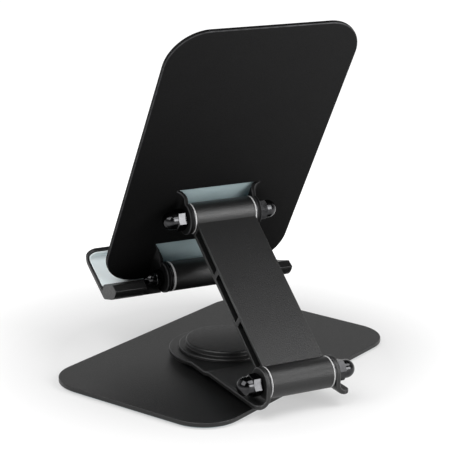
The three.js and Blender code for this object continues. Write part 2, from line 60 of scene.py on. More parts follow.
ARM_HALF, ARM_SLAB, ARM_SKIN, ARM_WEB, ARM_WEB_OFFSET = 17.3, 4.2, 1.8, 2.8, 15.0
ARM_BORE, ARM_END_WALL, POCKET_CORNER = 4.5, 1.2, 0.7
BARREL = 8.0
STAND_OFF = 8.4
PLATE_BELOW_B = 52.6
WINDOW_B_TOP, WINDOW_B_BELOW, WINDOW_C_TOP, WINDOW_CORNER = 12.7, 1.2, -26.3, 0.8
PAD_THICK, PAD_INSET = 1.0, 4.0
SHELF_HALF, FLOOR_TOP, FLOOR_BOTTOM, SHELF_FRONT, LIP, LIP_TOP = 53.6, -10.2, -12.4, 31.3, 2.1, -4.4
LIP_CORNER, SHELF_BEND, SHELF_HEEL, WEB_FRONT, WING_START = 5.0, 5.0, 3.0, 5.4, 35.5
NUT_BAY, WING_TOP, WING_FOOT, WING_MILL, EAR_ROOM, SIDE_ROOM = -5.9, 2.6, -9.5, -0.3, 0.7, 1.0
SHELF_BORE = 3.9
LINING_THICK, LINING_RIM, LINING_BACK, LINING_BELOW_LIP = 0.8, 1.2, 8.2, 0.8
BUSH_LENGTH = 9.0
PIN_PLAY = 0.15         # between a pin and its hole
SHEET_RIM, BASE_RIM, ARM_RIM, SHELF_RIM, RING_RIM = 0.6, 0.35, 0.25, 0.3, 0.15     # rounded edges
NUT_TURN = 20.0         # degrees the hexagons are turned from square with the sheet
RELIEF = 0.6            # notch between a bent ear's root and the corner of its window

M6 = {"pin": 3.0, "across": 10.0, "height": 12.0, "hex": 5.2, "dome": 4.75}
M5 = {"pin": 2.5, "across": 8.0, "height": 10.0, "hex": 4.2, "dome": 3.75}
BIG = {"nut": M6, "half": 17.3, "flange": 0.6, "washer": 0.6, "slack": 0.1, "ear": 2.4, "round": 8.3,
       "bend": 3.0, "ring": 8.1, "bush": 4.4}
SMALL = {"nut": M5, "half": 17.9, "flange": 1.1, "washer": 1.1, "slack": 0.5, "ear": 2.3, "round": 8.3,
         "bend": 4.0, "ring": 8.1, "bush": 3.8}


def layers(kit):
    """Where a hinge's flange, washer, ear and nut start and end, outwards from the middle of the stand."""
    flange = (kit["half"] + GAP / 2, kit["half"] + GAP / 2 + kit["flange"])
    washer = (flange[1] + GAP / 2, flange[1] + GAP / 2 + kit["washer"])
    ear = (washer[1] + kit["slack"], washer[1] + kit["slack"] + kit["ear"])
    return {"flange": flange, "washer": washer, "ear": ear, "nut": ear[1] + GAP}


def ear_root(kit):
    """How far from the middle of the stand a flat ear leaves its sheet."""
    return layers(kit)["ear"][1] + kit["bend"]


# ---------------------------------------------------------------- local frames
at = {joint["name"]: Vector(joint["pos_m"]) for joint in frame["joints"]}
hinge_a, hinge_b, hinge_c = at["arm_tilt"], at["tablet_tilt"], at["shelf_fold"]
ACROSS = Vector((1, 0, 0))
ARM_LENGTH = (hinge_a - hinge_b).length / MM
SHELF_HINGE = (hinge_b - hinge_c).length / MM
HINGE_RISE = hinge_a.z / MM - TABLE_TOP - TABLE_STEP


def local_frame(origin, along, flip=1):
    """Millimetres with x across the stand, y along a direction and z square to both."""
    along = along.normalized()
    normal = ACROSS.cross(along) * flip
    turn = Matrix((ACROSS, along, normal)).transposed().to_4x4()
    return Matrix.Translation(origin) @ turn @ Matrix.Scale(MM, 4)


UP_PLATE = (hinge_b - hinge_c).normalized()
FRONT_OF_PLATE = ACROSS.cross(UP_PLATE)
ROW = Matrix.Scale(MM, 4)
TURNED = Matrix.Rotation(math.radians(BASE_TURN), 4, "Z") @ ROW
AT_A = local_frame(hinge_a, Vector((0, 1, 0)))
AT_B = local_frame(hinge_b, UP_PLATE)
AT_C = local_frame(hinge_c, UP_PLATE)
ARM_FRAME = local_frame(hinge_a, hinge_a - hinge_b)
PLATE_BACK = local_frame(hinge_b + FRONT_OF_PLATE * STAND_OFF * MM, UP_PLATE, -1)
TABLE_FACE = Matrix.Translation((0, 0, TABLE_TOP * MM)) @ ROW
SECTION = Matrix(((0, 0, 1, 0), (1, 0, 0, 0), (0, 1, 0, 0), (0, 0, 0, 1)))   # (y, z) sections, run along x


# ---------------------------------------------------------------- outlines
def arc(cx, cy, radius, start, end, step=5.0):
    """Points on an arc, both ends included; angles in degrees."""
    count = max(2, math.ceil(abs(end - start) / step))
    angles = [math.radians(start + (end - start) * i / count) for i in range(count + 1)]
    return [(cx + radius * math.cos(a), cy + radius * math.sin(a)) for a in angles]


def rounded_box(x0, y0, x1, y1, radius):
    left, right, low, high = x0 + radius, x1 - radius, y0 + radius, y1 - radius
    return (arc(right, low, radius, -90, 0) + arc(right, high, radius, 0, 90)
            + arc(left, high, radius, 90, 180) + arc(left, low, radius, 180, 270))


def mirrored(points):
    """The same points on the other side of the middle, in the opposite order."""
    return [(-x, y) for x, y in reversed(points)]


def circle(cx, cy, radius, step=6.0):
    return arc(cx, cy, radius, 0, 360 - step, step)


def area(loop):
    return sum(a[0] * b[1] - b[0] * a[1] for a, b in zip(loop, loop[1:] + loop[:1])) / 2


def tidy(loop):
    """Drops points that repeat the one before them."""
    return [p for p, q in zip(loop, loop[-1:] + loop[:-1]) if math.dist(p, q) > 1e-4]


def inward(loop):
    """For each point, the way into the material on its left, long enough to offset both sides by 1."""
    ways = []
    for before, here, after in zip(loop[-1:] + loop[:-1], loop, loop[1:] + loop[:1]):
        first = Vector((before[1] - here[1], here[0] - before[0])).normalized()
        second = Vector((here[1] - after[1], after[0] - here[0])).normalized()
        ways.append((first + second) / max(0.3, 1 + first.dot(second)))
    return ways


# ---------------------------------------------------------------- solids
ROUNDING = 3            # faces across a rounded edge


def slab(outer, holes, low, high, rim=0.3):
    """Closed solid between two levels from outlines in x and y, with its edges rounded by rim."""
    quarter = [(rim * (1 - math.sin(t)), rim * (1 - math.cos(t)))
               for t in (math.pi / 2 * i / ROUNDING for i in range(ROUNDING + 1))]
    if rim == 0:
        quarter = [(0, 0)]
    profile = [(off, low + rise) for off, rise in quarter]
    profile += [(off, high - rise) for off, rise in reversed(quarter)]
    bm = bmesh.new()
    floor, ceiling = [], []
    for number, loop in enumerate([outer, *holes]):
        loop = tidy(loop)
        if (area(loop) > 0) == (number > 0):
            loop = loop[::-1]
        ways = inward(loop)
        rings = [[bm.verts.new((p[0] + w.x * off, p[1] + w.y * off, level)) for p, w in zip(loop, ways)]
                 for off, level in profile]
        for lower, upper in zip(rings, rings[1:]):
            for i in range(len(loop)):
                bm.faces.new((lower[i - 1], lower[i], upper[i], upper[i - 1]))
        floor.append(rings[0])
        ceiling.append(rings[-1])
    for cap in (floor, ceiling):
        corners = [v for ring in cap for v in ring]
        for triangle in tessellate_polygon([[v.co for v in ring] for ring in cap]):
            bm.faces.new([corners[i] for i in triangle])
    bmesh.ops.recalc_face_normals(bm, faces=bm.faces)
    return bm


def run_along_x(outer, holes, low, high, rim=0.3):
    """A slab whose outline lies in y and z."""
    bm = slab(outer, holes, low, high, rim)
    bm.transform(SECTION)
    return bm


def rings_to_solid(rings, closed_ends):
    """Closed solid from rings of points; a closed end is one point, other solids run round to their start."""
    bm = bmesh.new()
    rows = [[bm.verts.new(p) for p in ring] for ring in rings]
    pairs = list(zip(rows, rows[1:]))
    if not closed_ends:
        pairs.append((rows[-1], rows[0]))
    for a, b in pairs:
        for i in range(max(len(a), len(b))):
            corners = [a[i - 1], a[i], b[i], b[i - 1]] if len(a) > 1 and len(b) > 1 else (
                [a[0], b[i], b[i - 1]] if len(a) == 1 else [a[i - 1], a[i], b[0]])
            bm.faces.new(corners)
    bmesh.ops.recalc_face_normals(bm, faces=bm.faces)
    return bm


def ring_about_x(x, radius, steps, start=0.0):
    """Points round the x axis, or the one point on it when the radius is nought."""
    if radius == 0:
        return [(x, 0, 0)]
    angles = [math.tau * i / steps + start for i in range(steps)]
    return [(x, radius * math.cos(angle), radius * math.sin(angle)) for angle in angles]


def turned(profile, steps=96):
    """Solid of revolution from (x, radius) points that run from axis to axis, or else form a closed loop."""
    rings = [ring_about_x(x, radius, steps) for x, radius in profile]
    return rings_to_solid(rings, profile[0][1] == 0)


def ring_profile(inner, outer, low, high, rim):
    """Section of a flat ring with rounded outer and inner edges."""
    return rounded_profile([(low, inner), (low, outer), (high, outer), (high, inner)], rim)


def rounded_profile(corners, rim):
    """A closed section in (x, radius) with each corner cut by a short three-step round."""
    points = []
    for before, here, after in zip(corners[-1:] + corners[:-1], corners, corners[1:] + corners[:1]):
        here_v = Vector(here)
        start = here_v + (Vector(before) - here_v).normalized() * rim
        end = here_v + (Vector(after) - here_v).normalized() * rim
        for i in range(ROUNDING + 1):
            t = i / ROUNDING
            points.append(tuple((1 - t) ** 2 * start + 2 * t * (1 - t) * here_v + t * t * end))
    return points


CHAMFER_START = 0.95    # share of the hexagon's half width
CHAMFER_SLOPE = math.tan(math.radians(30))
NECK, DOME_RINGS = 0.15, 13


def acorn_nut(size, from_x):
    """Domed cap nut on the x axis: chamfered hexagon, neck and polished dome, with a blind bore."""
    steps, start = 96, math.radians(NUT_TURN)
    flat, bore = size["across"] / 2, size["pin"] + PIN_PLAY
    crown = flat * CHAMFER_START
    centre = size["height"] - size["dome"]
    rings = [[] for _ in range(6)]
    for i in range(steps):
        angle = math.tau * i / steps
        across_corner = (angle + math.pi / 6) % (math.pi / 3) - math.pi / 6
        radius = flat / math.cos(across_corner)
        drop = (radius - crown) * CHAMFER_SLOPE
        for ring, (x, r) in zip(rings, [
                (0, bore), (0, crown), (drop, radius), (size["hex"] - drop, radius),
                (size["hex"], crown), (size["hex"] + NECK, size["dome"])]):
            ring.append((from_x + x, r * math.cos(angle + start), r * math.sin(angle + start)))
    for i in range(DOME_RINGS):
        t = math.pi / 2 * i / DOME_RINGS
        rings.append(ring_about_x(from_x + centre + size["dome"] * math.sin(t), size["dome"] * math.cos(t),
                                  steps, start))
    rings.append(ring_about_x(from_x + size["height"], 0, steps))
    depth = from_x + centre + 1
    floor = [ring_about_x(depth, 0, steps), ring_about_x(depth, bore, steps, start)]
    return rings_to_solid(floor + rings, True)


def cut_at(bm, values, along=(1, 0, 0)):
    """Adds edges across a solid where it is going to bend."""
    for value in values:
        everything = bm.verts[:] + bm.edges[:] + bm.faces[:]
        bmesh.ops.bisect_plane(bm, geom=everything, dist=1e-4, plane_co=Vector(along) * value, plane_no=along)


# ---------------------------------------------------------------- bent ears
BEND_STEPS = 8


def bend_length(kit, thickness):
    return (kit["bend"] + thickness / 2) * math.pi / 2


def flat_ear(kit, thickness, low, high, centre, rise):
    """Outline of an ear before bending, for the right-hand side, from its lower root to its upper one.

    The ear stands on the sheet from low to high along y and ends in a round about its hinge hole.
    """
    far = ear_root(kit)
    start = bend_length(kit, thickness)
    radius = kit["round"]
    lean = math.atan2(rise, high - centre)
    foot = 0.0
    if high - centre > radius:
        foot = lean - math.acos(radius / math.hypot(high - centre, rise))
    foot_y, foot_h = centre + radius * math.cos(foot), rise + radius * math.sin(foot)
    at_bend = high + (foot_y - high) * kit["bend"] / foot_h
    round_end = arc(centre, rise, radius, 180, math.degrees(foot))
    points = [(far, low)] + [(far - start - (h - kit["bend"]), y) for y, h in round_end]
    return points + [(far - start, at_bend), (far, high)]


def fold_ears(bm, kit, thickness, low, high):
    far = ear_root(kit)
    length = bend_length(kit, thickness)
    bend = kit["bend"]
    for v in bm.verts:
        side = 1 if v.co.x > 0 else -1
        past = far - abs(v.co.x)
        if past <= 1e-5 or not low < v.co.y < high:
            continue
        turn = min(past / length, 1) * math.pi / 2
        reach = bend - v.co.z
        v.co.x = side * (far - reach * math.sin(turn))
        v.co.z = bend - reach * math.cos(turn) + max(past - length, 0)


def bend_cuts(kit, thickness):
    far = ear_root(kit)
    step = bend_length(kit, thickness) / BEND_STEPS
    return [side * (far - step * i) for i in range(BEND_STEPS + 1) for side in (1, -1)]


# ---------------------------------------------------------------- materials
def nodes_of(name):
    material = bpy.data.materials.new(name)
    material.use_nodes = True
    tree = material.node_tree
    shader = tree.nodes["Principled BSDF"]
    place = tree.nodes.new("ShaderNodeTexCoord")
    return material, tree, shader, place.outputs["Object"]


def noise(tree, place, scale, detail=3.0, roughness=0.6):
    node = tree.nodes.new("ShaderNodeTexNoise")
    node.inputs["Scale"].default_value = scale
    node.inputs["Detail"].default_value = detail
    node.inputs["Roughness"].default_value = roughness
    tree.links.new(place, node.inputs["Vector"])
    return node.outputs["Fac"]


def spread(tree, value, low, high):
    """A noise value (mostly 0.3 to 0.7) taken to a range."""
    node = tree.nodes.new("ShaderNodeMapRange")
    node.inputs["From Min"].default_value = 0.3
    node.inputs["From Max"].default_value = 0.7
    node.inputs["To Min"].default_value = low
    node.inputs["To Max"].default_value = high
    tree.links.new(value, node.inputs["Value"])
    return node.outputs["Result"]


def blend_colours(tree, share, first, second):
    node = tree.nodes.new("ShaderNodeMix")
    node.data_type = "RGBA"
    for socket, value in ((node.inputs[6], first), (node.inputs[7], second)):
        if isinstance(value, tuple):
            socket.default_value = (*value, 1.0)
        else:
            tree.links.new(value, socket)
    tree.links.new(share, node.inputs["Factor"])
    return node.outputs[2]


def bumps(tree, shader, layers_of_bump):
    """Stacks (height, strength, distance in metres) bumps on a shader."""
    below = None
    for height, strength, distance in layers_of_bump:
        node = tree.nodes.new("ShaderNodeBump")
        node.inputs["Strength"].default_value = strength
        node.inputs["Distance"].default_value = distance
        tree.links.new(height, node.inputs["Height"])
        if below is not None:
            tree.links.new(below, node.inputs["Normal"])
        below = node.outputs["Normal"]
    tree.links.new(below, shader.inputs["Normal"])


def black_finish(name, dark, light, worn, gloss, specular, grain, grain_depth):
    """Black coated aluminium: fine blasted grain, faint clouding, and a thinner coat along its edges."""
    material, tree, shader, place = nodes_of(name)
    shader.inputs["Specular IOR Level"].default_value = specular
    clouds = noise(tree, place, 55, 4)
    fine = noise(tree, place, grain, 2, 0.7)
    cloudy = blend_colours(tree, spread(tree, clouds, 0, 1), dark, light)
    speckled = blend_colours(tree, spread(tree, fine, 0.0, 0.5), cloudy, tuple(c * 1.8 for c in light))
    edge = tree.nodes.new("ShaderNodeAttribute")
    edge.attribute_name = "wear"
    wear_noise = tree.nodes.new("ShaderNodeMath")
    wear_noise.operation = "MULTIPLY"
    tree.links.new(edge.outputs["Fac"], wear_noise.inputs[0])
    tree.links.new(spread(tree, noise(tree, place, 260, 3), 0.35, 1.0), wear_noise.inputs[1])
    tree.links.new(blend_colours(tree, wear_noise.outputs[0], speckled, worn), shader.inputs["Base Color"])
    tree.links.new(spread(tree, fine, gloss + 0.06, gloss - 0.06), shader.inputs["Roughness"])
    bumps(tree, shader, [(fine, 0.5, grain_depth)])
    return material


def black_chrome(name):
    """Polished black chrome with faint turning marks round the nut and a few dull smears."""
    material, tree, shader, place = nodes_of(name)
    shader.inputs["Metallic"].default_value = 1.0
    smears = noise(tree, place, 420, 4)
    colour = blend_colours(tree, spread(tree, smears, 0, 1), (0.03, 0.03, 0.0315), (0.055, 0.055, 0.057))
    tree.links.new(colour, shader.inputs["Base Color"])
    tree.links.new(spread(tree, smears, 0.10, 0.22), shader.inputs["Roughness"])
    bumps(tree, shader, [(noise(tree, place, 2600, 2), 0.12, 0.00001)])
    return material


def turned_metal(name, low, high, gloss):
    """Turned bright metal, with rings of fine tool marks round the x axis."""
    material, tree, shader, place = nodes_of(name)
    shader.inputs["Metallic"].default_value = 1.0
    stretch = tree.nodes.new("ShaderNodeMapping")
    stretch.inputs["Scale"].default_value = (6000, 60, 60)
    tree.links.new(place, stretch.inputs["Vector"])
    marks = noise(tree, stretch.outputs["Vector"], 1.0, 2)
    tree.links.new(blend_colours(tree, spread(tree, marks, 0, 1), low, high), shader.inputs["Base Color"])
    tree.links.new(spread(tree, marks, gloss - 0.05, gloss + 0.08), shader.inputs["Roughness"])
    bumps(tree, shader, [(marks, 0.2, 0.00001)])
    return material


def silicone(name, low, high, glow):
    """Pale silicone sheet: cloudy, faintly translucent, with a matt moulded grain."""
    material, tree, shader, place = nodes_of(name)
    shader.inputs["Specular IOR Level"].default_value = 0.35
    shader.inputs["Subsurface Weight"].default_value = glow
    shader.inputs["Subsurface Radius"].default_value = (0.0022, 0.0026, 0.0028)
    shader.inputs["Subsurface Scale"].default_value = 1.0
    clouds = noise(tree, place, 38, 4)
    fine = noise(tree, place, 3200, 2)
    tree.links.new(blend_colours(tree, spread(tree, clouds, 0, 1), low, high), shader.inputs["Base Color"])
    tree.links.new(spread(tree, fine, 0.52, 0.66), shader.inputs["Roughness"])
    bumps(tree, shader, [(fine, 0.25, 0.00002), (clouds, 0.06, 0.0002)])
    return material


def dry_plastic(name, low, high):
    """Bearing plastic: even, slightly waxy, with a fine machined grain."""
    material, tree, shader, place = nodes_of(name)
    fine = noise(tree, place, 1800, 3)
    tree.links.new(blend_colours(tree, spread(tree, fine, 0, 1), low, high), shader.inputs["Base Color"])
    tree.links.new(spread(tree, fine, 0.38, 0.5), shader.inputs["Roughness"])
    bumps(tree, shader, [(fine, 0.15, 0.00001)])
    return material


LOOKS = {
    "anodised_black": black_finish("satin anodised black", (0.0028, 0.0028, 0.0029), (0.0036, 0.0036, 0.0037),
                                   (0.04, 0.04, 0.041), 0.42, 0.5, 1300, 0.0003),
    "plate_black": black_finish("matt powder black", (0.002, 0.002, 0.0021), (0.0028, 0.0028, 0.0029),
                                (0.05, 0.05, 0.052), 0.62, 0.1, 1700, 0.00005),
    "black_chrome": black_chrome("black chrome"),
    "steel": turned_metal("blackened steel", (0.05, 0.05, 0.052), (0.09, 0.09, 0.092), 0.3),
    "bush_nylon": dry_plastic("bearing plastic", (0.40, 0.40, 0.40), (0.52, 0.52, 0.52)),
    "nylon_black": dry_plastic("black nylon", (0.012, 0.012, 0.012), (0.02, 0.02, 0.02)),
    # painted shade: the base and tablet pads are the same pale silicone as the shelf lining, coloured darker
    # here as if seen in shadow
    "silicone_sheet": silicone("silicone sheet", (0.30, 0.38, 0.39), (0.36, 0.44, 0.455), 0.25),
    "silicone_shelf": silicone("silicone lining", (0.78, 0.87, 0.89), (0.84, 0.92, 0.935), 0.25),
}


# ---------------------------------------------------------------- placing a piece
UPRIGHT = Matrix.Rotation(-math.pi / 2, 4, "Y")      # takes a solid turned about x to stand along z


def mark_edges(bm, sharp=50.0, worn=22.0):
    """Smooth shading with hard edges kept hard, and a wear value along the outward rounded ones."""
    wear = bm.verts.layers.float.new("wear")
    for face in bm.faces:
        face.smooth = True
    for edge in bm.edges:
        turn = math.degrees(edge.calc_face_angle(0.0))
        edge.smooth = turn < sharp
        if turn > worn and edge.is_convex:
            for v in edge.verts:
                v[wear] = 1.0


def piece(name, bm, place, body, look, *nodes):
    """Puts a solid into the row frame on its body, with its material, in place of CAD nodes."""
    bm.transform(place)
    bmesh.ops.remove_doubles(bm, verts=bm.verts, dist=1e-7)
    bmesh.ops.recalc_face_normals(bm, faces=bm.faces)
    mark_edges(bm)
    mesh = bpy.data.meshes.new(name)
    bm.to_mesh(mesh)
    bm.free()
    mesh.materials.append(LOOKS[look])
    obj = bpy.data.objects.new(name, mesh)
    bpy.context.scene.collection.objects.link(obj)
    normals = obj.modifiers.new("face-weighted normals", "WEIGHTED_NORMAL")
    normals.keep_sharp = True
    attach(obj, body)
    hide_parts(*nodes)
    return obj


# ---------------------------------------------------------------- base and swivel
half_length, half_width = PLATE_LENGTH / 2, PLATE_WIDTH / 2
base_bottom = BASE_PAD_THICK + GAP


def base_outline(inset):
    return rounded_box(-half_length + inset, -half_width + inset, half_length - inset, half_width - inset,
                       PLATE_CORNER - inset)


piece("base_plate_sheet", slab(base_outline(0), [], base_bottom, base_bottom + PLATE_THICK, BASE_RIM), TURNED,
      "base", "anodised_black", "base_plate")
# its darker silicone colour is painted shade
base_mat = piece("base_pad_sheet", slab(base_outline(BASE_PAD_INSET), [], 0, BASE_PAD_THICK, 0.2), TURNED,
                 "base", "silicone_sheet", "base_pad")


def turntable():
    """Head under the swivel, tail with a slot, and the two ears of hinge A bent up beside the slot."""
    far = ear_root(BIG)
    centre = hinge_a.y / MM
    slot_front = centre - BIG["round"] - SLOT_AHEAD
    join = math.degrees(math.acos(TAIL_HALF / HEAD_RADIUS))
    prong_x = TAIL_HALF - PRONG_RADIUS
    prong_end = math.degrees(math.acos((far - prong_x) / PRONG_RADIUS))
    ear = flat_ear(BIG, TABLE_THICK, centre - BIG["round"], centre + BIG["round"], centre, HINGE_RISE)
    right = arc(prong_x, TAIL_REAR - PRONG_RADIUS, PRONG_RADIUS, 0, prong_end, 10)
    right += ear[::-1] + arc(far - SLOT_CORNER, slot_front + SLOT_CORNER, SLOT_CORNER, 0, -90, 15)
    head = arc(0, 0, HEAD_RADIUS, 180 - join, 360 + join, 3)
    bm = slab(head + right + mirrored(right), [], -TABLE_THICK, 0, SHEET_RIM)
    cut_at(bm, bend_cuts(BIG, TABLE_THICK))
    fold_ears(bm, BIG, TABLE_THICK, centre - BIG["round"] - 0.5, TAIL_REAR + 1)
    ramp = STEP_TO - STEP_FROM
    cut_at(bm, [STEP_FROM + ramp * i / BEND_STEPS for i in range(BEND_STEPS + 1)], (0, 1, 0))
    for v in bm.verts:
        share = max(0, min((v.co.y - STEP_FROM) / ramp, 1))
        v.co.z += TABLE_STEP * share * share * (3 - 2 * share)
    return bm


piece("turntable_sheet", turntable(), TABLE_FACE, "turntable", "anodised_black", "turntable_plate")


def cap_solid():
    """Two-step cover: a rounded ring and a slightly crowned disc, hollow underneath."""
    floor, ring_top = TABLE_TOP + GAP, TABLE_TOP + CAP_RING_HEIGHT
    skirt, ceiling = CAP_DISC - CAP_SKIRT, CAP_DISC_TOP - CAP_CEILING
    shoulder = CAP_DISC - CAP_DISC_ROUND
    side = arc(CAP_RING - CAP_RING_ROUND, ring_top - CAP_RING_ROUND, CAP_RING_ROUND, 0, 90, 15)
    side += arc(CAP_DISC + CAP_FILLET, ring_top + CAP_FILLET, CAP_FILLET, 270, 180, 30)
    side += arc(shoulder, CAP_DISC_TOP - CAP_DISC_ROUND, CAP_DISC_ROUND, 0, 86, 12)
    profile = [(ceiling, 0), (ceiling, skirt), (floor, skirt)]
    profile += [(floor, CAP_RING - CAP_FOOT), (floor + CAP_FOOT, CAP_RING)]
    profile += [(level, radius) for radius, level in side]
    crown_rings = 8
    for i in range(1, crown_rings + 1):
        share = 1 - i / crown_rings
        profile.append((CAP_DISC_TOP + CAP_CROWN * (1 - share ** 2), shoulder * share))
    bm = turned(profile, 128)
    bm.transform(UPRIGHT)
    return bm


piece("swivel_cover", cap_solid(), ROW, "turntable", "anodised_black", "swivel_cap")


# ---------------------------------------------------------------- arm
def arm():
    """Double-skinned extrusion: a barrel at each end, two skins, two webs and three open pockets."""
    meet = math.degrees(math.asin(ARM_SLAB / BARREL))
    near = arc(0, 0, BARREL, 180 + meet, 540 - meet, 4)
    far = arc(-ARM_LENGTH, 0, BARREL, meet, 360 - meet, 4)
    bores = [circle(centre, 0, ARM_BORE) for centre in (0, -ARM_LENGTH)]
    middle, wall, high = -ARM_LENGTH / 2, BARREL + ARM_END_WALL, ARM_SLAB - ARM_SKIN
    webs = [middle - ARM_WEB_OFFSET, middle + ARM_WEB_OFFSET]
    starts = [-ARM_LENGTH + wall] + [web + ARM_WEB / 2 for web in webs]
    ends = [web - ARM_WEB / 2 for web in webs] + [-wall]
    pockets = [rounded_box(start, -high, end, high, POCKET_CORNER) for start, end in zip(starts, ends)]
    return run_along_x(near + far, bores + pockets, -ARM_HALF, ARM_HALF, ARM_RIM)


piece("arm_extrusion", arm(), ARM_FRAME, "arm_body", "anodised_black", "arm")


# ---------------------------------------------------------------- tablet plate
def tablet_sheet():
    """Back plate with two windows, and a pair of ears bent back out of each."""
    far_b, far_c = ear_root(BIG), ear_root(SMALL)
    bottom, top = -PLATE_BELOW_B, PLATE_LENGTH - PLATE_BELOW_B
    window_low = -BIG["round"] - WINDOW_B_BELOW
    corners = (arc(half_width - PLATE_CORNER, bottom + PLATE_CORNER, PLATE_CORNER, -90, 0, 4)
               + arc(half_width - PLATE_CORNER, top - PLATE_CORNER, PLATE_CORNER, 0, 90, 4))
    side_c = flat_ear(SMALL, PLATE_THICK, bottom, WINDOW_C_TOP - RELIEF, -SHELF_HINGE, STAND_OFF)
    side_c += [(far_c, WINDOW_C_TOP)]
    outer = corners + mirrored(corners) + mirrored(side_c[::-1]) + side_c[::-1]
    side_b = arc(far_b - WINDOW_CORNER, window_low + WINDOW_CORNER, WINDOW_CORNER, -90, 0, 30)
    side_b += flat_ear(BIG, PLATE_THICK, -BIG["round"], WINDOW_B_TOP - RELIEF, 0, STAND_OFF)
    side_b += [(far_b, WINDOW_B_TOP)]
    bm = slab(outer, [side_b + mirrored(side_b)], -PLATE_THICK, 0, SHEET_RIM)
    cut_at(bm, bend_cuts(BIG, PLATE_THICK) + bend_cuts(SMALL, PLATE_THICK))
    fold_ears(bm, BIG, PLATE_THICK, -BIG["round"] - 0.2, WINDOW_B_TOP - RELIEF / 2)
    fold_ears(bm, SMALL, PLATE_THICK, bottom - 1, WINDOW_C_TOP - RELIEF / 2)
    return bm


piece("tablet_plate_sheet", tablet_sheet(), PLATE_BACK, "tablet_rest", "plate_black", "tablet_plate")
pad_outline = rounded_box(-half_width + PAD_INSET, -PLATE_BELOW_B + PAD_INSET, half_width - PAD_INSET,
                          PLATE_LENGTH - PLATE_BELOW_B - PAD_INSET, PLATE_CORNER - PAD_INSET)
pad_back = STAND_OFF + PLATE_THICK + GAP
# its darker silicone colour is painted shade
tablet_mat = piece("tablet_pad_sheet", slab(pad_outline, [], pad_back, pad_back + PAD_THICK, 0.3), AT_B,
                   "tablet_rest", "silicone_sheet", "tablet_pad")


# ---------------------------------------------------------------- shelf
def carved(bm, cutters):
    """The solid less the cutters."""
    def temporary(solid):
        mesh = bpy.data.meshes.new("temporary")
        solid.to_mesh(mesh)
        solid.free()
        obj = bpy.data.objects.new("temporary", mesh)
        bpy.context.scene.collection.objects.link(obj)
        return obj

    body = temporary(bm)
    tools = [temporary(cutter) for cutter in cutters]
    for tool in tools:
        cut = body.modifiers.new("cut", "BOOLEAN")
        cut.operation = "DIFFERENCE"
        cut.solver = "EXACT"
        cut.object = tool
    result = bmesh.new()
    result.from_mesh(body.evaluated_get(bpy.context.evaluated_depsgraph_get()).to_mesh())
    for obj in [body, *tools]:
        bpy.data.objects.remove(obj)
    bmesh.ops.remove_doubles(result, verts=result.verts, dist=1e-3)
    bmesh.ops.dissolve_limit(result, angle_limit=math.radians(0.5), verts=result.verts, edges=result.edges)
    return result


def round_edges(bm, width, sharp=35.0):
    """Rounds every edge that turns sharply."""
    edges = [e for e in bm.edges if math.degrees(e.calc_face_angle(0.0)) > sharp]
    bmesh.ops.bevel(bm, geom=edges, offset=width, segments=ROUNDING, profile=0.5, affect="EDGES",
                    clamp_overlap=False, loop_slide=True)
    bmesh.ops.remove_doubles(bm, verts=bm.verts, dist=width * 0.4)
    return bm


def shelf_section():
    """In (y, z) at hinge C: barrel, sloping underside, floor, and lip with a round outside bend."""
    meet = BARREL * math.sqrt(2) + FLOOR_BOTTOM
    web_top = -math.sqrt(BARREL ** 2 - WEB_FRONT ** 2)
    inner = SHELF_BEND - LIP
    heel = math.tan(math.radians(22.5)) * SHELF_HEEL
    points = arc(FLOOR_BOTTOM + SHELF_HEEL, heel - meet, SHELF_HEEL, 225, 180, 8)
    points += arc(FLOOR_BOTTOM + SHELF_BEND, SHELF_FRONT - SHELF_BEND, SHELF_BEND, 180, 90, 6)
    points += [(LIP_TOP, SHELF_FRONT), (LIP_TOP, SHELF_FRONT - LIP)]
    points += arc(FLOOR_TOP + inner, SHELF_FRONT - LIP - inner, inner, 90, 180, 9)
    points += [(FLOOR_TOP, WEB_FRONT)]
    return points + arc(0, 0, BARREL, math.degrees(math.atan2(WEB_FRONT, web_top)), -135, 4)


def shelf():
    """Extrusion with room milled for the ears and nuts, and its rear wall milled down at both ends."""
    behind_lip = SHELF_FRONT / 2
    beyond = 40
    ear_end = layers(SMALL)["ear"][1]
    bore = turned([(-beyond * 2, 0), (-beyond * 2, SHELF_BORE), (beyond * 2, SHELF_BORE), (beyond * 2, 0)])
    cutters = []
    milling = [(beyond, -beyond), (beyond, behind_lip), (WING_FOOT, behind_lip),
               (WING_FOOT, WING_MILL - WING_FOOT), (WING_TOP, WING_MILL - WING_TOP), (WING_TOP, -beyond)]
    for side in (1, -1):
        def box(start, end, low, back, front):
            outline = [(low, back), (beyond, back), (beyond, front), (low, front)]
            return run_along_x(outline, [], *sorted((side * start, side * end)), 0)

        room = sorted((side * SMALL["half"], side * (ear_end + SIDE_ROOM)))
        reach = SMALL["round"] + EAR_ROOM
        cutters.append(turned([(room[0], 0), (room[0], reach), (room[1], reach), (room[1], 0)], 120))
        cutters.append(box(SMALL["half"], WING_START, NUT_BAY, -beyond, behind_lip))
        cutters.append(box(SMALL["half"], ear_root(SMALL) + SIDE_ROOM, FLOOR_TOP, 0, behind_lip))
        wing = sorted((side * (WING_START - GAP), side * (SHELF_HALF + 1)))
        cutters.append(run_along_x(milling, [], *wing, 0))
        centre, level = SHELF_HALF - LIP_CORNER, LIP_TOP - LIP_CORNER
        corner = arc(centre, level, LIP_CORNER, 90, 0, 6)
        corner += [(SHELF_HALF + 1, level), (SHELF_HALF + 1, LIP_TOP + 1), (centre, LIP_TOP + 1)]
        corner = [(side * x, y) for x, y in corner]
        cutters.append(slab(corner, [], behind_lip, beyond, 0))
    body = run_along_x(shelf_section(), [], -SHELF_HALF, SHELF_HALF, 0)
    return carved(round_edges(carved(body, cutters), SHELF_RIM), [bore])


piece("shelf_extrusion", shelf(), AT_C, "shelf_body", "anodised_black", "shelf")


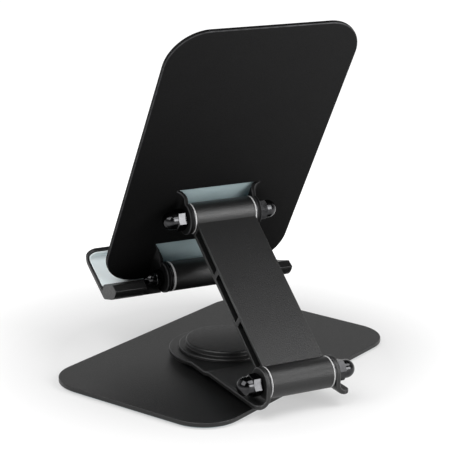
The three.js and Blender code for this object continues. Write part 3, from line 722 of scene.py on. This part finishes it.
def lining():
    """Silicone lining: one sheet over the floor, turned up inside the lip, with rounded upper corners."""
    floor, wall = FLOOR_TOP + GAP, SHELF_FRONT - LIP - GAP
    outer = SHELF_BEND - LIP - GAP
    half = SHELF_HALF - LINING_RIM
    flat = wall - outer - LINING_BACK
    turn_length = (outer - LINING_THICK / 2) * math.pi / 2
    length = flat + turn_length + (LIP_TOP - LINING_BELOW_LIP) - (floor + outer)
    corner = LIP_CORNER - LINING_RIM
    outline = [(-half, 0), (half, 0)] + arc(half - corner, length - corner, corner, 0, 90, 9)
    outline += arc(corner - half, length - corner, corner, 90, 180, 9)
    bm = slab(outline, [], 0, LINING_THICK, 0.2)
    cut_at(bm, [flat + turn_length * i / BEND_STEPS for i in range(BEND_STEPS + 1)], (0, 1, 0))
    for v in bm.verts:
        past = v.co.y - flat
        turn = max(0, min(past / turn_length, 1)) * math.pi / 2
        reach = outer - v.co.z
        v.co.z = wall - outer + min(past, 0) + reach * math.sin(turn)
        v.co.y = floor + outer - reach * math.cos(turn) + max(past - turn_length, 0)
    return bm


shelf_mat = piece("shelf_lining", lining(), AT_C, "shelf_body", "silicone_shelf", "shelf_pad")


# ---------------------------------------------------------------- hinge hardware
def hinge_hardware(letter, kit, place, ears_body, barrel_body):
    """Nuts and washers on the body that has the ears, flanged bushes on the one that has the barrel."""
    where = layers(kit)
    bore = kit["nut"]["pin"] + PIN_PLAY
    near, far = where["flange"]
    flange = [(near - BUSH_LENGTH, bore), (near - BUSH_LENGTH, kit["bush"]), (near, kit["bush"]),
              (near, kit["ring"]), (far, kit["ring"]), (far, bore)]
    for side, turn in (("left", 0), ("right", math.pi)):
        spot = place @ Matrix.Rotation(turn, 4, "Z")
        name = f"hinge_{letter}_{{}}_{side}"
        piece(name.format("cap_nut"), acorn_nut(kit["nut"], where["nut"]), spot, ears_body, "black_chrome",
              name.format("acorn_nut"))
        washer = ring_profile(bore, kit["ring"], *where["washer"], RING_RIM)
        piece(name.format("thrust_washer"), turned(washer), spot, ears_body, "steel", name.format("washer"))
        piece(name.format("flanged_bush"), turned(rounded_profile(flange, RING_RIM)), spot, barrel_body,
              "bush_nylon", name.format("bush"))


hinge_hardware("a", BIG, AT_A, "turntable", "arm_body")
hinge_hardware("b", BIG, AT_B, "tablet_rest", "arm_body")
hinge_hardware("c", SMALL, AT_C, "tablet_rest", "shelf_body")

# what stays as the CAD has it: hidden rods and the stack on the pivot
CARRIED = {"hinge_a_axle": "steel", "hinge_b_axle": "steel", "hinge_c_axle": "steel", "pivot_stud": "steel",
           "spring_washer": "steel", "pivot_nut": "steel", "slide_disc": "nylon_black",
           "friction_washer": "nylon_black"}
for node_name, look in CARRIED.items():
    node = frame["nodes"][node_name]
    for material_slot in node.material_slots:
        material_slot.link = "OBJECT"
        material_slot.material = LOOKS[look]


# ---------------------------------------------------------------- floor, light and camera
# brightness of the studio by height above the horizon, in degrees, behind the camera and beyond the stand
CAMERA_SIDE = ((-12, 0.5), (0, 0.6), (10, 0.5), (18, 0.03), (60, 0.03))
FAR_SIDE = ((-12, 0.65), (32, 0.58), (48, 0.03))
AWAY = (-0.472, -0.881, 0.0)                 # level direction from the camera past the stand
SIDE_BLEND = (-0.15, 0.3)                    # where along it one side's brightness gives way to the other's
FLOOR_RADIUS, FLOOR_DROP = 12.0, 0.0002      # in metres; the drop keeps it clear of the base pad
# the floor glows less near the stand: a painted shadow round the base
FLOOR_GLOW_WITH_PAINTED_SHADOW = (0.09, 0.21, 0.48, 1.0)         # from 0.09 m to 0.21 m out, the floor's own light rises to 1
LIGHTS_AIM = (0, 0, 0.08)


def floor_with_painted_shadow():
    """White glowing floor whose glow grows away from the stand: the dimmer glow close to the stand is a
    painted shadow round it.
    """
    bm = bmesh.new()
    bmesh.ops.create_circle(bm, cap_ends=True, segments=96, radius=FLOOR_RADIUS)
    mesh = bpy.data.meshes.new("floor")
    bm.to_mesh(mesh)
    bm.free()
    floor = bpy.data.objects.new("floor", mesh)
    bpy.context.scene.collection.objects.link(floor)
    floor.location.z = -FLOOR_DROP
    material, tree, shader, place = nodes_of("pale floor with painted shadow")
    tree.links.new(blend_colours(tree, spread(tree, noise(tree, place, 3, 2), 0, 1), (0.38, 0.38, 0.38),
                                 (0.40, 0.40, 0.40)), shader.inputs["Base Color"])
    shader.inputs["Roughness"].default_value = 0.9
    shader.inputs["Specular IOR Level"].default_value = 0.0
    shader.inputs["Emission Color"].default_value = (1, 1, 1, 1)
    reach = tree.nodes.new("ShaderNodeVectorMath")
    reach.operation = "LENGTH"
    tree.links.new(place, reach.inputs[0])
    # painted shadow: the floor's glow is dimmed close to the stand
    glow = tree.nodes.new("ShaderNodeMapRange")
    for socket, value in zip(("From Min", "From Max", "To Min", "To Max"), FLOOR_GLOW_WITH_PAINTED_SHADOW):
        glow.inputs[socket].default_value = value
    tree.links.new(reach.outputs["Value"], glow.inputs["Value"])
    tree.links.new(glow.outputs["Result"], shader.inputs["Emission Strength"])
    mesh.materials.append(material)


def studio_sky():
    """White to the camera; to everything else bright low down, most of all beyond the stand."""
    world = bpy.data.worlds.new("studio")
    bpy.context.scene.world = world
    world.use_nodes = True
    tree = world.node_tree
    shade = tree.nodes["Background"]
    direction = tree.nodes.new("ShaderNodeTexCoord").outputs["Generated"]
    split = tree.nodes.new("ShaderNodeSeparateXYZ")
    tree.links.new(direction, split.inputs["Vector"])
    height = tree.nodes.new("ShaderNodeMapRange")
    height.inputs["From Min"].default_value = -1
    tree.links.new(split.outputs["Z"], height.inputs["Value"])
    ramps = []
    for stops in (CAMERA_SIDE, FAR_SIDE):
        ramp = tree.nodes.new("ShaderNodeValToRGB")
        tree.links.new(height.outputs["Result"], ramp.inputs["Fac"])
        for position, level in stops:
            stop = ramp.color_ramp.elements.new((math.sin(math.radians(position)) + 1) / 2)
            stop.color = (level, level, level, 1)
        for end in (0, -1):
            ramp.color_ramp.elements.remove(ramp.color_ramp.elements[end])
        ramps.append(ramp.outputs["Color"])
    away = tree.nodes.new("ShaderNodeVectorMath")
    away.operation = "DOT_PRODUCT"
    away.inputs[1].default_value = AWAY
    tree.links.new(direction, away.inputs[0])
    side = tree.nodes.new("ShaderNodeMapRange")
    side.inputs["From Min"].default_value, side.inputs["From Max"].default_value = SIDE_BLEND
    tree.links.new(away.outputs["Value"], side.inputs["Value"])
    studio = blend_colours(tree, side.outputs["Result"], *ramps)
    camera_sees = tree.nodes.new("ShaderNodeLightPath").outputs["Is Camera Ray"]
    tree.links.new(blend_colours(tree, camera_sees, studio, (1.0, 1.0, 1.0)), shade.inputs["Color"])
    shade.inputs["Strength"].default_value = 1.0


def softbox(name, azimuth, elevation, distance, width, height, power):
    """Area light aimed at the stand; azimuth and elevation are where it hangs, seen from the stand."""
    a, e = math.radians(azimuth), math.radians(elevation)
    toward = Vector((math.sin(a) * math.cos(e), -math.cos(a) * math.cos(e), math.sin(e)))
    light = bpy.data.lights.new(name, "AREA")
    light.shape = "RECTANGLE"
    light.size, light.size_y, light.energy = width, height, power
    obj = bpy.data.objects.new(name, light)
    bpy.context.scene.collection.objects.link(obj)
    obj.location = Vector(LIGHTS_AIM) + toward * distance
    obj.rotation_mode = "QUATERNION"
    obj.rotation_quaternion = (-toward).to_track_quat("-Z", "Y")
    obj.visible_camera = False


floor_with_painted_shadow()
studio_sky()
softbox("overhead", 210, 35, 0.21, 0.13, 0.13, 0.28)
softbox("key", 208, 14.5, 1.0, 0.36, 0.36, 3.8)
softbox("fill", 112, 52, 0.9, 0.8, 0.8, 7.4)

CAMERA = {"azimuth": 151.789, "elevation": 16.534, "roll": 1.164, "distance": 866.807, "lens": 137.65,
          "target": (15.262, 25.271, 84.145)}


def camera():
    a, e, roll = (math.radians(CAMERA[key]) for key in ("azimuth", "elevation", "roll"))
    back = Vector((math.sin(a) * math.cos(e), -math.cos(a) * math.cos(e), math.sin(e)))
    right = (-back).cross(Vector((0, 0, 1))).normalized()
    up = right.cross(-back)
    right, up = (right * math.cos(roll) + up * math.sin(roll), up * math.cos(roll) - right * math.sin(roll))
    data = bpy.data.cameras.new("camera")
    data.lens, data.sensor_width = CAMERA["lens"], 36.0
    data.clip_start, data.clip_end = 0.05, 60.0
    obj = bpy.data.objects.new("camera", data)
    bpy.context.scene.collection.objects.link(obj)
    turn = Matrix((right, up, back)).transposed().to_4x4()
    spot = (Vector(CAMERA["target"]) + back * CAMERA["distance"]) * MM
    obj.matrix_world = Matrix.Translation(spot) @ turn
    bpy.context.scene.camera = obj


camera()
bpy.context.scene.view_settings.view_transform = "Standard"

bpy.context.view_layer.update()
